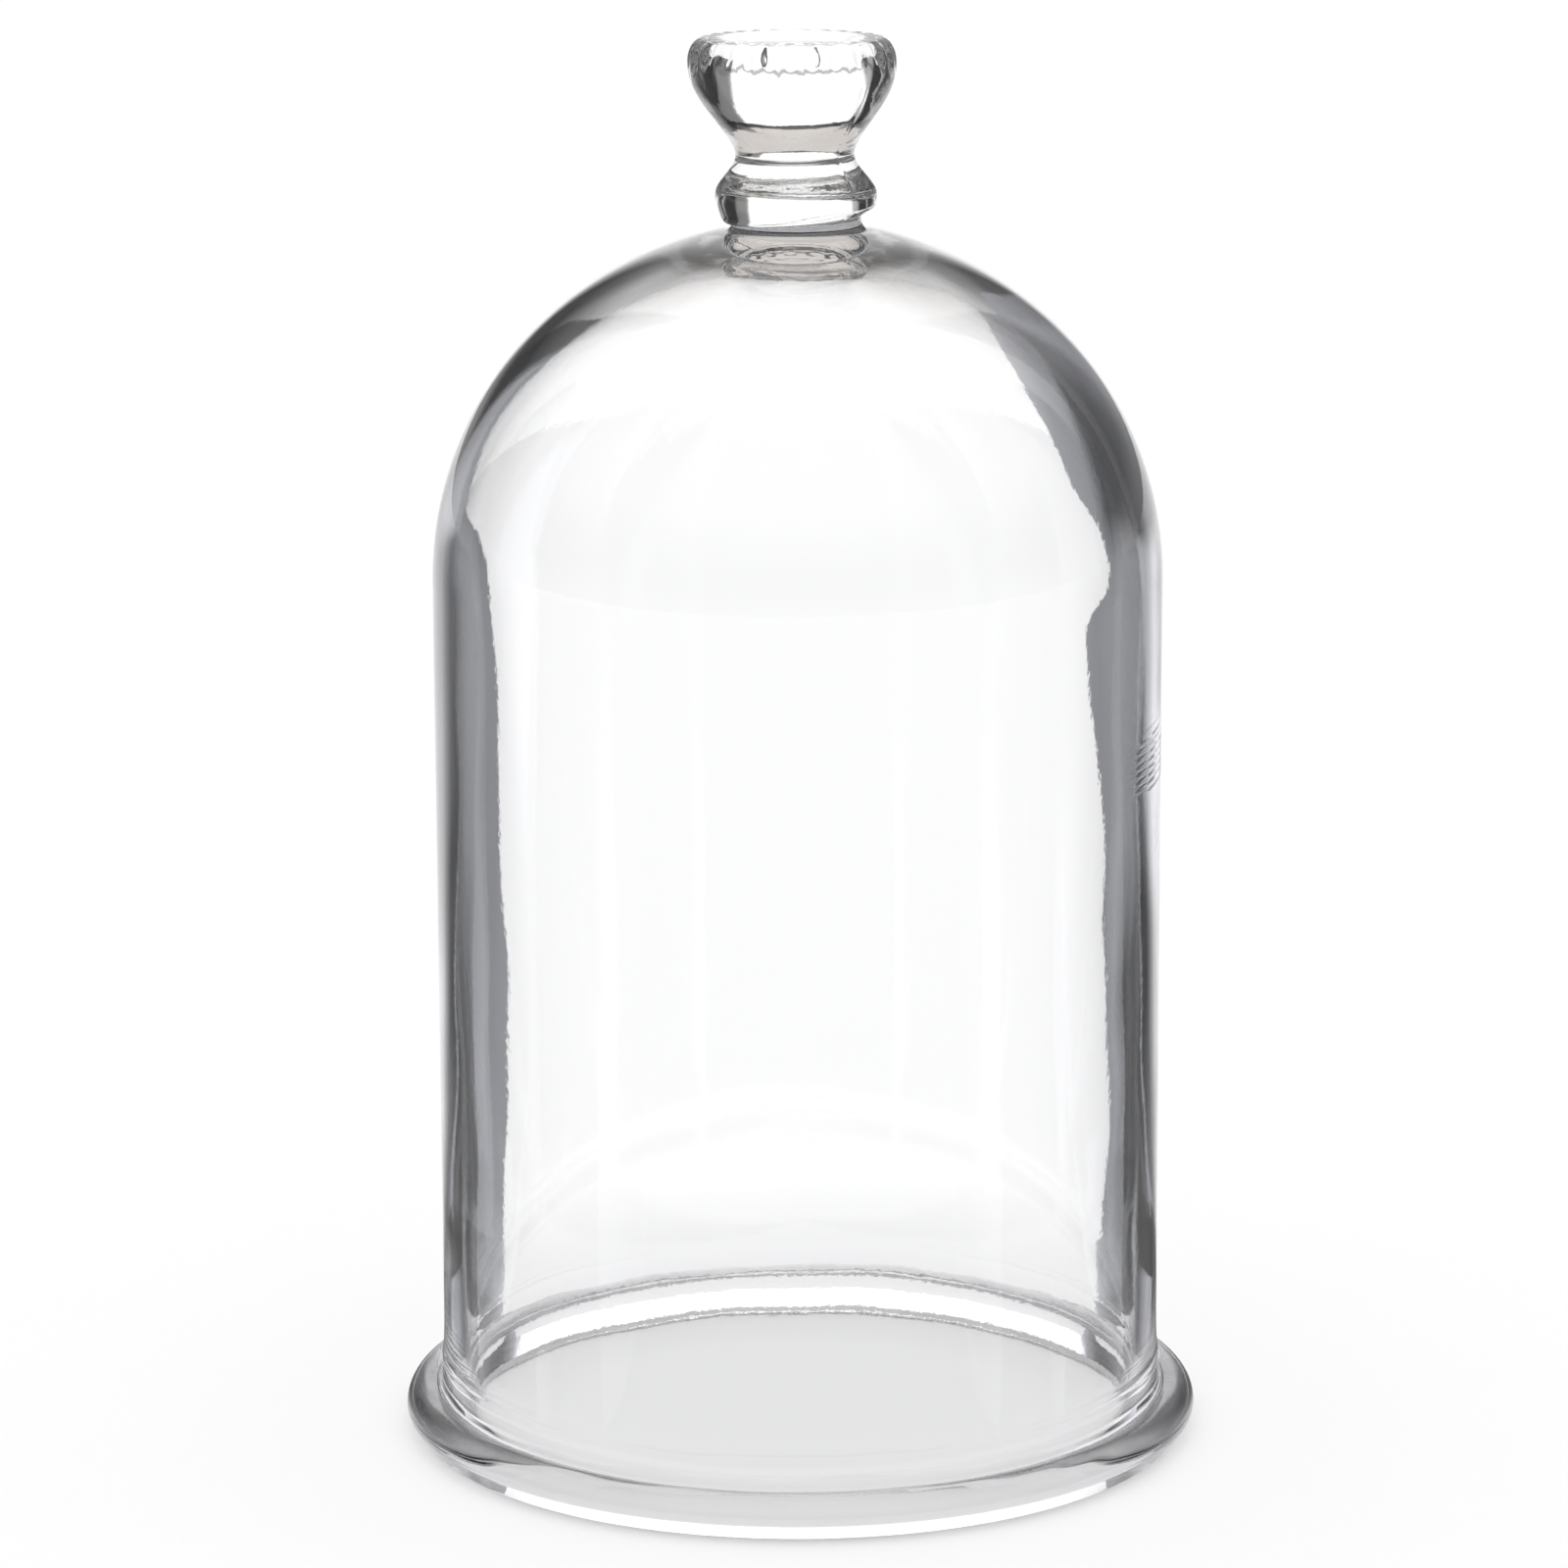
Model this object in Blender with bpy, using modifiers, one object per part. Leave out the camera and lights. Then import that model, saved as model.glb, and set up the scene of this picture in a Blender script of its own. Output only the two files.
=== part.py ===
"""Glass bell jar with a solid knob on top and a heavy ground flange round its open foot.

Metres, +Z up. The origin is the centre of the ground underside, and Z is the jar's axis.
Every piece is a turned shape: half of its section in the XZ plane, spun about Z.
"""
import math

import bmesh
import bpy

# Wall and dome
WALL_RADIUS = 0.0815
WALL_THICKNESS = 0.00425
SPRING_HEIGHT = 0.1960
DOME_RISE = 0.0792
CROWN_THICKNESS = 0.0060

# Flange round the open foot: reaches are measured from the wall, the heel's from the lip
FLANGE_REACH = 0.0088
SHELF_REACH = 0.0023
HEEL_REACH = 0.0023
LIP_HEIGHT = 0.0040
LIP_RISE = 0.0072
FILLET_RISE = 0.0048
MOUTH_CHAMFER = 0.0010

# Collar between dome and knob
COLLAR_RADIUS = 0.0143
COLLAR_RISE = 0.0026
COLLAR_EDGE = 0.0006

# Solid knob: bead, waist and head, each height measured from the one below
BEAD_RADIUS = 0.0179
BEAD_RISE = 0.0033
WAIST_RADIUS = 0.0131
WAIST_RISE = 0.0090
HEAD_RADIUS = 0.0230
HEAD_RISE = 0.0200
HEAD_FLARE = 0.80
TOP_RADIUS = 0.0180
SHOULDER_RISE = 0.0056

# Clear gap where one piece of glass meets the next
JOINT_GAP = 0.0003

# Facets
BODY_STEPS = 64
KNOB_STEPS = 40
DOME_SEGMENTS = 11
ARC_SEGMENTS = 5
CURVE_SEGMENTS = 7
MERGE_DISTANCE = 0.00001

BORE_RADIUS = WALL_RADIUS - WALL_THICKNESS
SHELF_RADIUS = WALL_RADIUS + SHELF_REACH
GROUND_RADIUS = WALL_RADIUS + FLANGE_REACH - HEEL_REACH
SHELF_HEIGHT = LIP_HEIGHT + LIP_RISE
FOOT_HEIGHT = SHELF_HEIGHT + FILLET_RISE
DOME_TOP = SPRING_HEIGHT + DOME_RISE
COLLAR_TOP = DOME_TOP + COLLAR_RISE
KNOB_BOTTOM = COLLAR_TOP + JOINT_GAP
BEAD_HEIGHT = KNOB_BOTTOM + BEAD_RISE
WAIST_HEIGHT = BEAD_HEIGHT + WAIST_RISE
HEAD_HEIGHT = WAIST_HEIGHT + HEAD_RISE
KNOB_TOP = HEAD_HEIGHT + SHOULDER_RISE


def steps_between(start, end, count):
    """count + 1 even steps from start to end."""
    return [start + (end - start) * i / count for i in range(count + 1)]


def ellipse_arc(centre, reach, rise, start, end, count):
    """Points of an ellipse about centre, from one angle to another, in degrees from +X."""
    angles = [math.radians(a) for a in steps_between(start, end, count)]
    return [(centre[0] + reach * math.cos(a), centre[1] + rise * math.sin(a)) for a in angles]


def swell(low, high, share):
    """A smooth rise from low to high that starts and ends level; share runs from 0 to 1."""
    return low + (high - low) * (1 - math.cos(math.pi * share)) / 2


def dome_height(radius):
    """Height of the dome's outer face at a radius."""
    return SPRING_HEIGHT + DOME_RISE * math.sqrt(1 - (radius / WALL_RADIUS) ** 2)


def shell_profile():
    """Outside from the crown down to the foot, then inside from the foot up to the crown."""
    spring = (0.0, SPRING_HEIGHT)
    seat = FOOT_HEIGHT + JOINT_GAP
    inner_rise = DOME_RISE - CROWN_THICKNESS
    outside = ellipse_arc(spring, WALL_RADIUS, DOME_RISE, 90, 0, DOME_SEGMENTS)
    inside = ellipse_arc(spring, BORE_RADIUS, inner_rise, 0, 90, DOME_SEGMENTS)
    return outside + [(WALL_RADIUS, seat), (BORE_RADIUS, seat)] + inside


def flange_profile():
    """Fillet below the wall, rounded lip, ground face, then up the bore."""
    lip_reach = FLANGE_REACH - SHELF_REACH
    fillet = ellipse_arc((SHELF_RADIUS, FOOT_HEIGHT), SHELF_REACH, FILLET_RISE, 180, 270, ARC_SEGMENTS)
    lip = ellipse_arc((SHELF_RADIUS, LIP_HEIGHT), lip_reach, LIP_RISE, 90, 0, ARC_SEGMENTS)
    heel = ellipse_arc((GROUND_RADIUS, LIP_HEIGHT), HEEL_REACH, LIP_HEIGHT, 0, -90, ARC_SEGMENTS)
    mouth = [(BORE_RADIUS + MOUTH_CHAMFER, 0.0), (BORE_RADIUS, MOUTH_CHAMFER), (BORE_RADIUS, FOOT_HEIGHT)]
    return fillet + lip[1:] + heel[1:] + mouth


def collar_profile():
    """Flat top, straight side and an underside that follows the dome."""
    side = [
        (0.0, COLLAR_TOP),
        (COLLAR_RADIUS - COLLAR_EDGE, COLLAR_TOP),
        (COLLAR_RADIUS, COLLAR_TOP - COLLAR_EDGE),
    ]
    radii = steps_between(COLLAR_RADIUS, 0.0, ARC_SEGMENTS)
    return side + [(r, dome_height(r) + JOINT_GAP) for r in radii]


def knob_profile():
    """Flat top, rounded shoulder, flared head, waist, bead and flat underside."""
    shoulder_reach = HEAD_RADIUS - TOP_RADIUS
    bead_reach = BEAD_RADIUS - COLLAR_RADIUS
    shoulder = ellipse_arc((TOP_RADIUS, HEAD_HEIGHT), shoulder_reach, SHOULDER_RISE, 90, 0, ARC_SEGMENTS)
    head = []
    bead = []
    for share in steps_between(1.0, 0.0, CURVE_SEGMENTS):
        head.append((swell(WAIST_RADIUS, HEAD_RADIUS, share**HEAD_FLARE), WAIST_HEIGHT + HEAD_RISE * share))
        bead.append((swell(BEAD_RADIUS, WAIST_RADIUS, share), BEAD_HEIGHT + WAIST_RISE * share))
    underside = ellipse_arc((COLLAR_RADIUS, BEAD_HEIGHT), bead_reach, BEAD_RISE, 0, -90, ARC_SEGMENTS)
    return [(0.0, KNOB_TOP)] + shoulder + head[1:] + bead[1:] + underside[1:] + [(0.0, KNOB_BOTTOM)]


def glass_material(name, colour, roughness):
    """Clear glass with its own faint tint and finish."""
    material = bpy.data.materials.new(name)
    material.use_nodes = True
    shader = material.node_tree.nodes["Principled BSDF"]
    shader.inputs["Base Color"].default_value = (*colour, 1.0)
    shader.inputs["Roughness"].default_value = roughness
    shader.inputs["Metallic"].default_value = 0.0
    shader.inputs["IOR"].default_value = 1.50
    shader.inputs["Transmission Weight"].default_value = 1.0
    material.diffuse_color = (*colour, 0.35)
    return material


def turned(name, profile, steps, material, collection, closed=False):
    """One turned piece: its section as a wire, spun a full turn about Z."""
    mesh = bpy.data.meshes.new(name)
    section = bmesh.new()
    wire = [section.verts.new((radius, 0.0, height)) for radius, height in profile]
    for first, second in zip(wire, wire[1:]):
        section.edges.new((first, second))
    if closed:
        section.edges.new((wire[-1], wire[0]))
    section.to_mesh(mesh)
    section.free()
    mesh.materials.append(material)
    piece = bpy.data.objects.new(name, mesh)
    collection.objects.link(piece)
    spin = piece.modifiers.new("spin", "SCREW")
    spin.axis = "Z"
    spin.angle = math.tau
    spin.screw_offset = 0.0
    spin.steps = steps
    spin.render_steps = steps
    spin.use_merge_vertices = True
    spin.merge_threshold = MERGE_DISTANCE
    spin.use_smooth_shade = True
    return piece


def clear_scene():
    """Removes whatever the scene already holds."""
    for item in list(bpy.data.objects):
        bpy.data.objects.remove(item, do_unlink=True)


def main():
    clear_scene()
    jar = bpy.data.collections.new("bell_jar")
    bpy.context.scene.collection.children.link(jar)
    shell_glass = glass_material("shell_glass", (0.94, 0.95, 0.95), 0.02)
    flange_glass = glass_material("flange_glass", (0.90, 0.91, 0.91), 0.06)
    collar_glass = glass_material("collar_glass", (0.92, 0.93, 0.93), 0.03)
    knob_glass = glass_material("knob_glass", (0.93, 0.94, 0.93), 0.03)
    turned("bell_shell", shell_profile(), BODY_STEPS, shell_glass, jar)
    turned("foot_flange", flange_profile(), BODY_STEPS, flange_glass, jar, closed=True)
    turned("neck_collar", collar_profile(), KNOB_STEPS, collar_glass, jar)
    turned("knob", knob_profile(), KNOB_STEPS, knob_glass, jar)


main()
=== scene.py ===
"""Looks of a knob-top glass bell jar: one skin of clear glass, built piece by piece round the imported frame.

The jar is a single piece of glass, so its pieces are open skins that meet edge to edge. Together they close
round the glass, and light bends only where the real surface is. Metres, +Z up, +Y away from the camera.
"""
import functools
import math

import bmesh
import bpy
import numpy as np
from bpy.props import FloatProperty, FloatVectorProperty, IntProperty, PointerProperty
from mathutils import Euler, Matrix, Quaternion, Vector


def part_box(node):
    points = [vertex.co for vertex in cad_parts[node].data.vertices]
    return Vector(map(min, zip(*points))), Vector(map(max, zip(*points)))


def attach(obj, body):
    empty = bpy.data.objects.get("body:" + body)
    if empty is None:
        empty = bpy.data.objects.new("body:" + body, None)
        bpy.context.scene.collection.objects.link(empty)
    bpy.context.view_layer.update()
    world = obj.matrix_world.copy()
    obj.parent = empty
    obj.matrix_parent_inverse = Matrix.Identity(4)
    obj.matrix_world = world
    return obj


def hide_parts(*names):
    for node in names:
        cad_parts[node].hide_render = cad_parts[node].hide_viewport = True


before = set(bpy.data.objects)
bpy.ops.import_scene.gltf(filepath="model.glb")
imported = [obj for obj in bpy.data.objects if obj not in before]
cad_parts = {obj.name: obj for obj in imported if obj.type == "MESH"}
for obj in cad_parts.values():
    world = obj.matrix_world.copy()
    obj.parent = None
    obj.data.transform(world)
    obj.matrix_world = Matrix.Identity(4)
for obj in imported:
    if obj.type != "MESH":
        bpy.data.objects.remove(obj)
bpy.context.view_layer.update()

bl_info = {
    "name": "Bell Jar",
    "version": (1, 0, 0),
    "blender": (4, 5, 0),
    "location": "View3D > Sidebar > Bell Jar",
    "description": "Builds the glass, stage and camera of a knob-top bell jar",
    "category": "Object",
}

MM = 0.001
SHELL_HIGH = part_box("bell_shell")[1]
FLANGE_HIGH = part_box("foot_flange")[1]
COLLAR_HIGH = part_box("neck_collar")[1]
KNOB_LOW, KNOB_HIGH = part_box("knob")

# Spacing of the rings of points that make the skin, and how many points each ring has
KNOB_STEP = 0.5 * MM
COLLAR_STEP = 0.4 * MM
DOME_STEP = 1.5 * MM
WALL_STEP = 2.0 * MM
CHILL_STEP = 0.4 * MM
SKIRT_STEP = 0.5 * MM
FLANGE_STEP = 0.35 * MM
GROUND_STEP = 1.5 * MM
INNER_WALL_STEP = 3.2 * MM
TURN_STEPS = 288
PHI = np.arange(TURN_STEPS) * (math.tau / TURN_STEPS)

# Small fixed shapes: the end of the collar's fillet in degrees, the wall's swelling above the flange,
# and how flat the ground face is
COLLAR_FILLET_END = 256
SKIRT_RISE = 8.0 * MM
FLARE_REACH = 0.55 * MM
FLARE_RISE = 4.0 * MM
GROUND_FLAT = 0.05 * MM

# Marks of the maker's hand: where each one starts and ends, in metres or radians, or how wide it is
WAVES_PAST_CROWN = (12 * MM, 45 * MM)
WAVES_ABOVE_FOOT = (12 * MM, 40 * MM)
CHILL_FADE = 2.0 * MM
CHILL_STARTS = (0.0, 0.08)
CHILL_STOPS = (0.42, 0.52)
CHILL_GROUPS = 38
CHILL_CLIMB = 2.5 * MM
FOLD_WIDTH = 3.0 * MM
FOLD_HEIGHTS = (5 * MM, 9 * MM)
SEAM_WIDTH = 0.45 * MM
SEAM_HEIGHTS = (12 * MM, 24 * MM)
MARK_DROP = 3.0 * MM
MARK_WIDTH = 2.6 * MM
MARK_RADII = (15 * MM, 18 * MM)
MARK_SHARPNESS = 1.3
MOULD_SEAM_WIDTH = 0.55 * MM
MOULD_SEAM_RADII = (10 * MM, 13 * MM)
MOULD_SEAM_TOP = 0.5 * MM
LAP_RISE = 0.4 * MM
LAP_WIDTH = 1.6 * MM

# Glass
GLASS_IOR = 1.5
PEELS_PER_GRAIN = 16
GRAIN_WORN, GRAIN_SOUND = 0.35, 0.62

# Stage; UNDER_GLASS is the share of the sky's light that reaches the floor through the glass
LIGHT_BOUNCES = 32
FLOOR_GAP = 0.2 * MM
FLOOR_SIDES = 96
SENSOR_WIDTH = 36.0
UNDER_GLASS = 0.80

# Grey cards that only the glass sees, as flags stand round glass in a photo studio. An edge is a run of
# (distance from the axis, height) points. Tones are rows of (distance from the axis, grey) stops, the lowest
# row first, and one row gives way to the next between the heights of CARD_LEVELS. Greys were set by trial.
# The cards' greys and their cool tint are painted shade and painted light, which the glass shows as its dark
# bands and edges.
CARD_EDGE_ON = 0.92
CARD_TINT = (0.965, 0.975, 1.04)
CARD_EDGES = {
    "left": (
        (0.118, 0.0),
        (0.116, 0.020),
        (0.111, 0.050),
        (0.111, 0.085),
        (0.114, 0.128),
        (0.119, 0.186),
        (0.125, 0.195),
        (0.150, 0.204),
        (0.150, 0.232),
        (0.118, 0.262),
        (0.104, 0.285),
        (0.108, 0.305),
        (0.112, 0.420),
    ),
    "right": (
        (0.117, 0.0),
        (0.119, 0.015),
        (0.125, 0.037),
        (0.124, 0.083),
        (0.122, 0.105),
        (0.116, 0.125),
        (0.109, 0.150),
        (0.1075, 0.170),
        (0.120, 0.176),
        (0.121, 0.182),
        (0.113, 0.197),
        (0.100, 0.210),
        (0.084, 0.238),
        (0.076, 0.262),
        (0.076, 0.285),
        (0.108, 0.305),
        (0.112, 0.420),
    ),
    "around": (
        (0.112, 0.0),
        (0.112, 0.085),
        (0.115, 0.128),
        (0.124, 0.173),
        (0.118, 0.200),
        (0.105, 0.235),
        (0.092, 0.262),
        (0.084, 0.285),
        (0.108, 0.305),
        (0.112, 0.420),
    ),
}
CARD_SIDES = ("around", "right", "around", "around", "around", "around", "around", "left")
CARD_LEVELS = ((0.008, 0.014), (0.075, 0.110), (0.184, 0.202))
# Light straight through the glass
CARD_STRAIGHT = {
    "left": (
        ((0.070, 1.00), (0.111, 1.00), (0.125, 0.60), (0.160, 0.42), (0.300, 0.42)),
        ((0.070, 0.30), (0.122, 0.32), (0.140, 0.35), (0.155, 0.12))
        + ((0.200, 0.04), (0.300, 0.05), (0.380, 0.45)),
        ((0.070, 0.30), (0.122, 0.32), (0.150, 0.48), (0.175, 0.48), (0.230, 0.20), (0.300, 0.12)),
        ((0.070, 0.10), (0.120, 0.12), (0.140, 0.30), (0.160, 0.36), (0.220, 0.50), (0.300, 0.55)),
    ),
    "right": (
        ((0.070, 1.00), (0.111, 1.00), (0.125, 0.60), (0.160, 0.42), (0.300, 0.42)),
        ((0.070, 0.30), (0.120, 0.30), (0.135, 0.22), (0.148, 0.06))
        + ((0.200, 0.02), (0.300, 0.03), (0.380, 0.40)),
        ((0.070, 0.31), (0.112, 0.31), (0.135, 0.40), (0.150, 0.42), (0.170, 0.48), (0.300, 0.55)),
        ((0.070, 0.85), (0.082, 0.60), (0.094, 0.42), (0.112, 0.40), (0.122, 0.07), (0.300, 0.08)),
    ),
}
# Light that bounced inside the glass
CARD_RIM = {
    "left": (
        ((0.105, 0.80), (0.150, 0.60), (0.300, 0.42)),
        ((0.105, 0.80), (0.125, 0.70), (0.150, 0.40), (0.190, 0.18), (0.240, 0.08), (0.300, 0.06)),
        ((0.105, 0.50), (0.130, 0.25), (0.190, 0.16), (0.240, 0.14), (0.300, 0.14)),
        ((0.105, 0.03), (0.150, 0.05), (0.180, 0.45), (0.300, 0.52)),
    ),
    "right": (
        ((0.105, 0.80), (0.150, 0.60), (0.300, 0.42)),
        ((0.105, 0.70), (0.125, 0.60), (0.150, 0.30), (0.190, 0.12), (0.240, 0.05), (0.300, 0.03)),
        ((0.105, 0.95), (0.150, 0.90), (0.190, 0.80), (0.240, 0.55), (0.300, 0.45)),
        ((0.105, 0.35), (0.130, 0.15), (0.190, 0.10), (0.300, 0.08)),
    ),
}
CARD_STRAIGHT["around"] = CARD_STRAIGHT["left"]
CARD_RIM["around"] = CARD_RIM["left"]
# Light through the solid flange
CARD_THROUGH_FLANGE = ((0.070, 1.10), (0.118, 1.10), (0.150, 0.70), (0.200, 0.45), (0.300, 0.40))
# Short cards at the foot, whose greys are painted shade seen in the glass near the foot
FOOT_CARDS = 16
FOOT_CARD = ((0.0925, 0.0), (0.0925, 0.026), (0.200, 0.026), (0.200, 0.0))
FOOT_EDGE_ON = 0.46
CARD_STRAIGHT["foot"] = (
    ((0.0925, 0.60), (0.096, 0.22), (0.102, 0.06), (0.110, 0.01), (0.200, 0.01)),
    ((0.0925, 0.60), (0.096, 0.30), (0.103, 0.25), (0.112, 0.10), (0.125, 0.02), (0.200, 0.02)),
)
CARD_RIM["foot"] = (((0.0925, 0.90), (0.100, 0.45), (0.111, 0.12), (0.130, 0.03), (0.200, 0.02)),)

# Painted shade and light on the floor, seen straight through the glass, then after bouncing inside it, as
# (distance from the axis, grey) stops up to FLOOR_END. Straight through: a painted shadow ring round the
# foot, and the floor painted lighter further out. After bouncing: a painted bright ring under the lip, and
# painted shade beyond it
FLOOR_END = 0.200
FLOOR_PAINTED_SHADOW_AND_LIGHT = (
    (0.0, 1.0),
    (0.055, 1.0),
    (0.074, 0.94),
    (0.079, 0.85),
    (0.088, 0.75),
    (0.098, 0.95),
    (0.140, 0.98),
    (FLOOR_END, 1.09),
)
FLOOR_BOUNCED_PAINTED_SHADE_AND_LIGHT = (
    (0.0, 0.95),
    (0.074, 1.0),
    (0.079, 1.35),
    (0.089, 1.35),
    (0.098, 0.90),
    (0.112, 0.30),
    (0.140, 0.10),
    (FLOOR_END, 0.08),
)

# Tones of the sky that the glass sees, as (degrees above the horizon, tone) stops: through the shell, then
# through solid glass, then after bouncing inside it
SKY_THROUGH_SHELL = (
    (-90, 1.3),
    (31.5, 1.3),
    (36.5, 1.0),
    (90.0, 0.60),
)
SKY_THROUGH_SOLID = (
    (-90, 1.2),
    (0.3, 1.2),
    (0.8, 0.55),
    (1.8, 0.55),
    (2.4, 1.2),
    (30.5, 1.2),
    (31.5, 0.06),
    (35.0, 0.06),
    (36.5, (0.72, 0.675, 0.645)),
    (74.0, (0.68, 0.645, 0.62)),
    (78.0, 0.30),
    (83.0, 0.30),
    (90.0, 0.60),
)
SKY_BOUNCED = (
    (-90, 0.40),
    (1.0, 0.25),
    (6.0, 0.06),
    (14.0, 0.06),
    (20.0, 0.22),
    (26.0, 0.48),
    (30.0, 0.60),
    (37.0, (0.72, 0.675, 0.645)),
    (74.0, (0.68, 0.645, 0.62)),
    (90.0, 0.60),
)

# Share of the sky that dark flags leave, seen through solid glass, as (degrees from +Y, share) stops
SECTOR_BY_TURN = (
    (-180, 1.0),
    (-72, 1.0),
    (-69, 0.02),
    (-40, 0.02),
    (-38, 0.35),
    (-34, 0.40),
    (-32, 1.0),
    (25, 1.0),
    (27, 0.20),
    (36, 0.17),
    (38, 0.02),
    (69, 0.02),
    (72, 1.0),
    (180, 1.0),
)

# Share of the shell's sky in what the glass mirrors, by degrees from +Y
AHEAD_BY_TURN = (
    (-180, 0.0),
    (-14, 0.0),
    (-8, 1.0),
    (8, 1.0),
    (14, 0.0),
    (180, 0.0),
)

# Painted shade on the floor where the glass mirrors it: the share of the floor's tone left, by degrees from
# +Y to either side
MIRRORED_PAINTED_SHADE_BY_TURN = (
    (0, 1.0),
    (33, 1.0),
    (43, 0.15),
    (75, 0.15),
    (88, 1.0),
    (180, 1.0),
)


def length(name, description, default):
    """A size in metres, shown in the scene's units."""
    return FloatProperty(name=name, description=description, default=default, unit="LENGTH", precision=5)


def share(name, description, default):
    """A number from 0 to 1."""
    return FloatProperty(
        name=name, description=description, default=default, subtype="FACTOR", min=0.0, max=1.0
    )


def plain_number(name, description, default):
    """A plain number."""
    return FloatProperty(name=name, description=description, default=default)


def angle_of(name, description, degrees):
    """An angle, shown in degrees."""
    return FloatProperty(name=name, description=description, default=math.radians(degrees), subtype="ANGLE")


def tint(name, description, default):
    """A colour, linear."""
    return FloatVectorProperty(name=name, description=description, default=default, subtype="COLOR", size=3)


class KnobSizes(bpy.types.PropertyGroup):
    """The solid knob: bead, waist, flared head and flat top."""

    head_radius: length("Head radius", "Widest radius of the head", KNOB_HIGH.x)
    head_height: length("Head height", "Height of the head's widest point", 310.4 * MM)
    head_flare: share("Head flare", "How early the head swells above the waist", 0.80)
    top_radius: length("Top radius", "Radius of the flat top", 19.3 * MM)
    waist_radius: length("Waist radius", "Narrowest radius", 13.1 * MM)
    waist_height: length("Waist height", "Height of the narrowest point", 290.4 * MM)
    bead_radius: length("Bead radius", "Widest radius of the bead", 17.9 * MM)
    bead_height: length("Bead height", "Height of the bead's widest point", 281.4 * MM)
    bead_foot: length("Bead foot", "Height of the bead's underside", KNOB_LOW.z - 2.0 * MM)
    bead_tilt: plain_number("Bead tilt", "Slope of the bead's lapped underside", 0.075)
    lean: plain_number("Lean", "Sideways lean of the knob, per unit of height", -0.022)
    dimples: IntProperty(
        name="Dimples", description="Tool marks round the head's shoulder", default=26, min=0
    )
    dimple_depth: length("Dimple depth", "Depth of the tool marks", 1.3 * MM)
    seam_height: length("Seam height", "Height of the mould seam", 0.16 * MM)
    seam_angle: angle_of("Seam angle", "Where the mould seam runs, from the front", 46)


class CollarSizes(bpy.types.PropertyGroup):
    """The step of glass between dome and knob."""

    radius: length("Radius", "Radius of the collar", COLLAR_HIGH.x)
    foot_fillet: length("Foot fillet", "Reach of the fillet where the collar meets the dome", 2.6 * MM)
    foot_rise: length("Foot rise", "Height of that fillet", 2.2 * MM)


class ShellSizes(bpy.types.PropertyGroup):
    """The wall and the dome."""

    radius: length("Radius", "Outer radius of the wall", SHELL_HIGH.x)
    thickness: length("Thickness", "Wall thickness", 4.25 * MM)
    spring_height: length("Spring height", "Height at which the dome starts", 196.0 * MM)
    crown_thickness: length("Crown thickness", "Glass under the knob", 8.0 * MM)
    button_radius: length("Button radius", "Radius of the swelling inside the crown", 30.0 * MM)
    button_drop: length("Button drop", "How far that swelling hangs down", 1.2 * MM)
    chill_height: length("Chill height", "Lowest of the chill marks on the right of the wall", 151.0 * MM)
    chill_rise: length("Chill rise", "Height of the patch of chill marks", 13.0 * MM)
    chill_pitch: length("Chill pitch", "Step from one chill mark to the next", 1.7 * MM)
    chill_depth: length("Chill depth", "Depth of the chill marks", 0.10 * MM)
    chill_angle: angle_of("Chill angle", "Where the chill marks begin, from the front", 64)
    outer_wave: length("Outer waves", "Height of the slow waves outside", 0.05 * MM)
    inner_wave: length("Inner waves", "Height of the slow waves inside", 0.08 * MM)


class FlangeSizes(bpy.types.PropertyGroup):
    """The heavy ring round the open foot."""

    radius: length("Radius", "Widest radius of the lip", FLANGE_HIGH.x)
    lip_centre: length("Lip centre", "Radius of the middle of the rounded lip", 85.2 * MM)
    lip_height: length("Lip height", "Height of the lip's widest point", 4.8 * MM)
    lip_rise: length("Lip rise", "Height of the lip's top above its widest point", 5.0 * MM)
    crease_angle: angle_of("Crease angle", "Where the lip meets the fillet", 109)
    heel_angle: angle_of("Heel angle", "Where the lip turns into the heel", -8)
    heel_round: length("Heel round", "Rounding between heel and ground face", 0.2 * MM)
    ground_radius: length("Ground radius", "Outer radius of the ground face", 86.9 * MM)
    seam_height: length("Seam height", "Height of the wavy line where the wall was joined on", 0.16 * MM)
    mouth_round: length("Mouth round", "Rounding of the mouth's inner edge", 1.2 * MM)
    fold: length("Folds", "Height of the folds where the flange was pressed", 0.12 * MM)


class StageSizes(bpy.types.PropertyGroup):
    """Camera, floor, world and cards."""

    camera_distance: length("Camera distance", "Level distance from the jar's axis", 1316.3 * MM)
    camera_height: length("Camera height", "Height above the floor", 437.0 * MM)
    camera_side: length("Camera side", "Sideways place of the camera", -3.2 * MM)
    camera_pitch: angle_of("Camera pitch", "How far it looks down", 12.37)
    camera_roll: angle_of("Camera roll", "Turn about its own axis", -0.234)
    lens: plain_number("Lens", "Focal length in millimetres on a 36 mm frame", 137.4)
    floor_radius: length("Floor radius", "Radius of the round floor", 6.0)
    floor_colour: tint("Floor colour", "Pale floor", (0.90, 0.90, 0.905))
    sky: plain_number("Sky", "Light on the floor", 1.13)
    card_end: length("Card end", "Where the grey cards end, from the axis", 900.0 * MM)
    card_height: length("Card height", "Height of the grey cards", 420.0 * MM)


def settings():
    """The sizes and colours that the scene holds."""
    return bpy.context.scene.bell_jar


class BellJarSettings(bpy.types.PropertyGroup):
    """Everything a user would change."""

    knob: PointerProperty(type=KnobSizes)
    collar: PointerProperty(type=CollarSizes)
    shell: PointerProperty(type=ShellSizes)
    flange: PointerProperty(type=FlangeSizes)
    stage: PointerProperty(type=StageSizes)


# Sections of the jar, as runs of (radius, height) points


def line_run(start, end, spacing):
    """Points from start to end, about spacing apart."""
    start, end = np.array(start), np.array(end)
    count = max(1, math.ceil(np.linalg.norm(end - start) / spacing))
    return start + np.linspace(0, 1, count + 1)[:, None] * (end - start)


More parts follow.
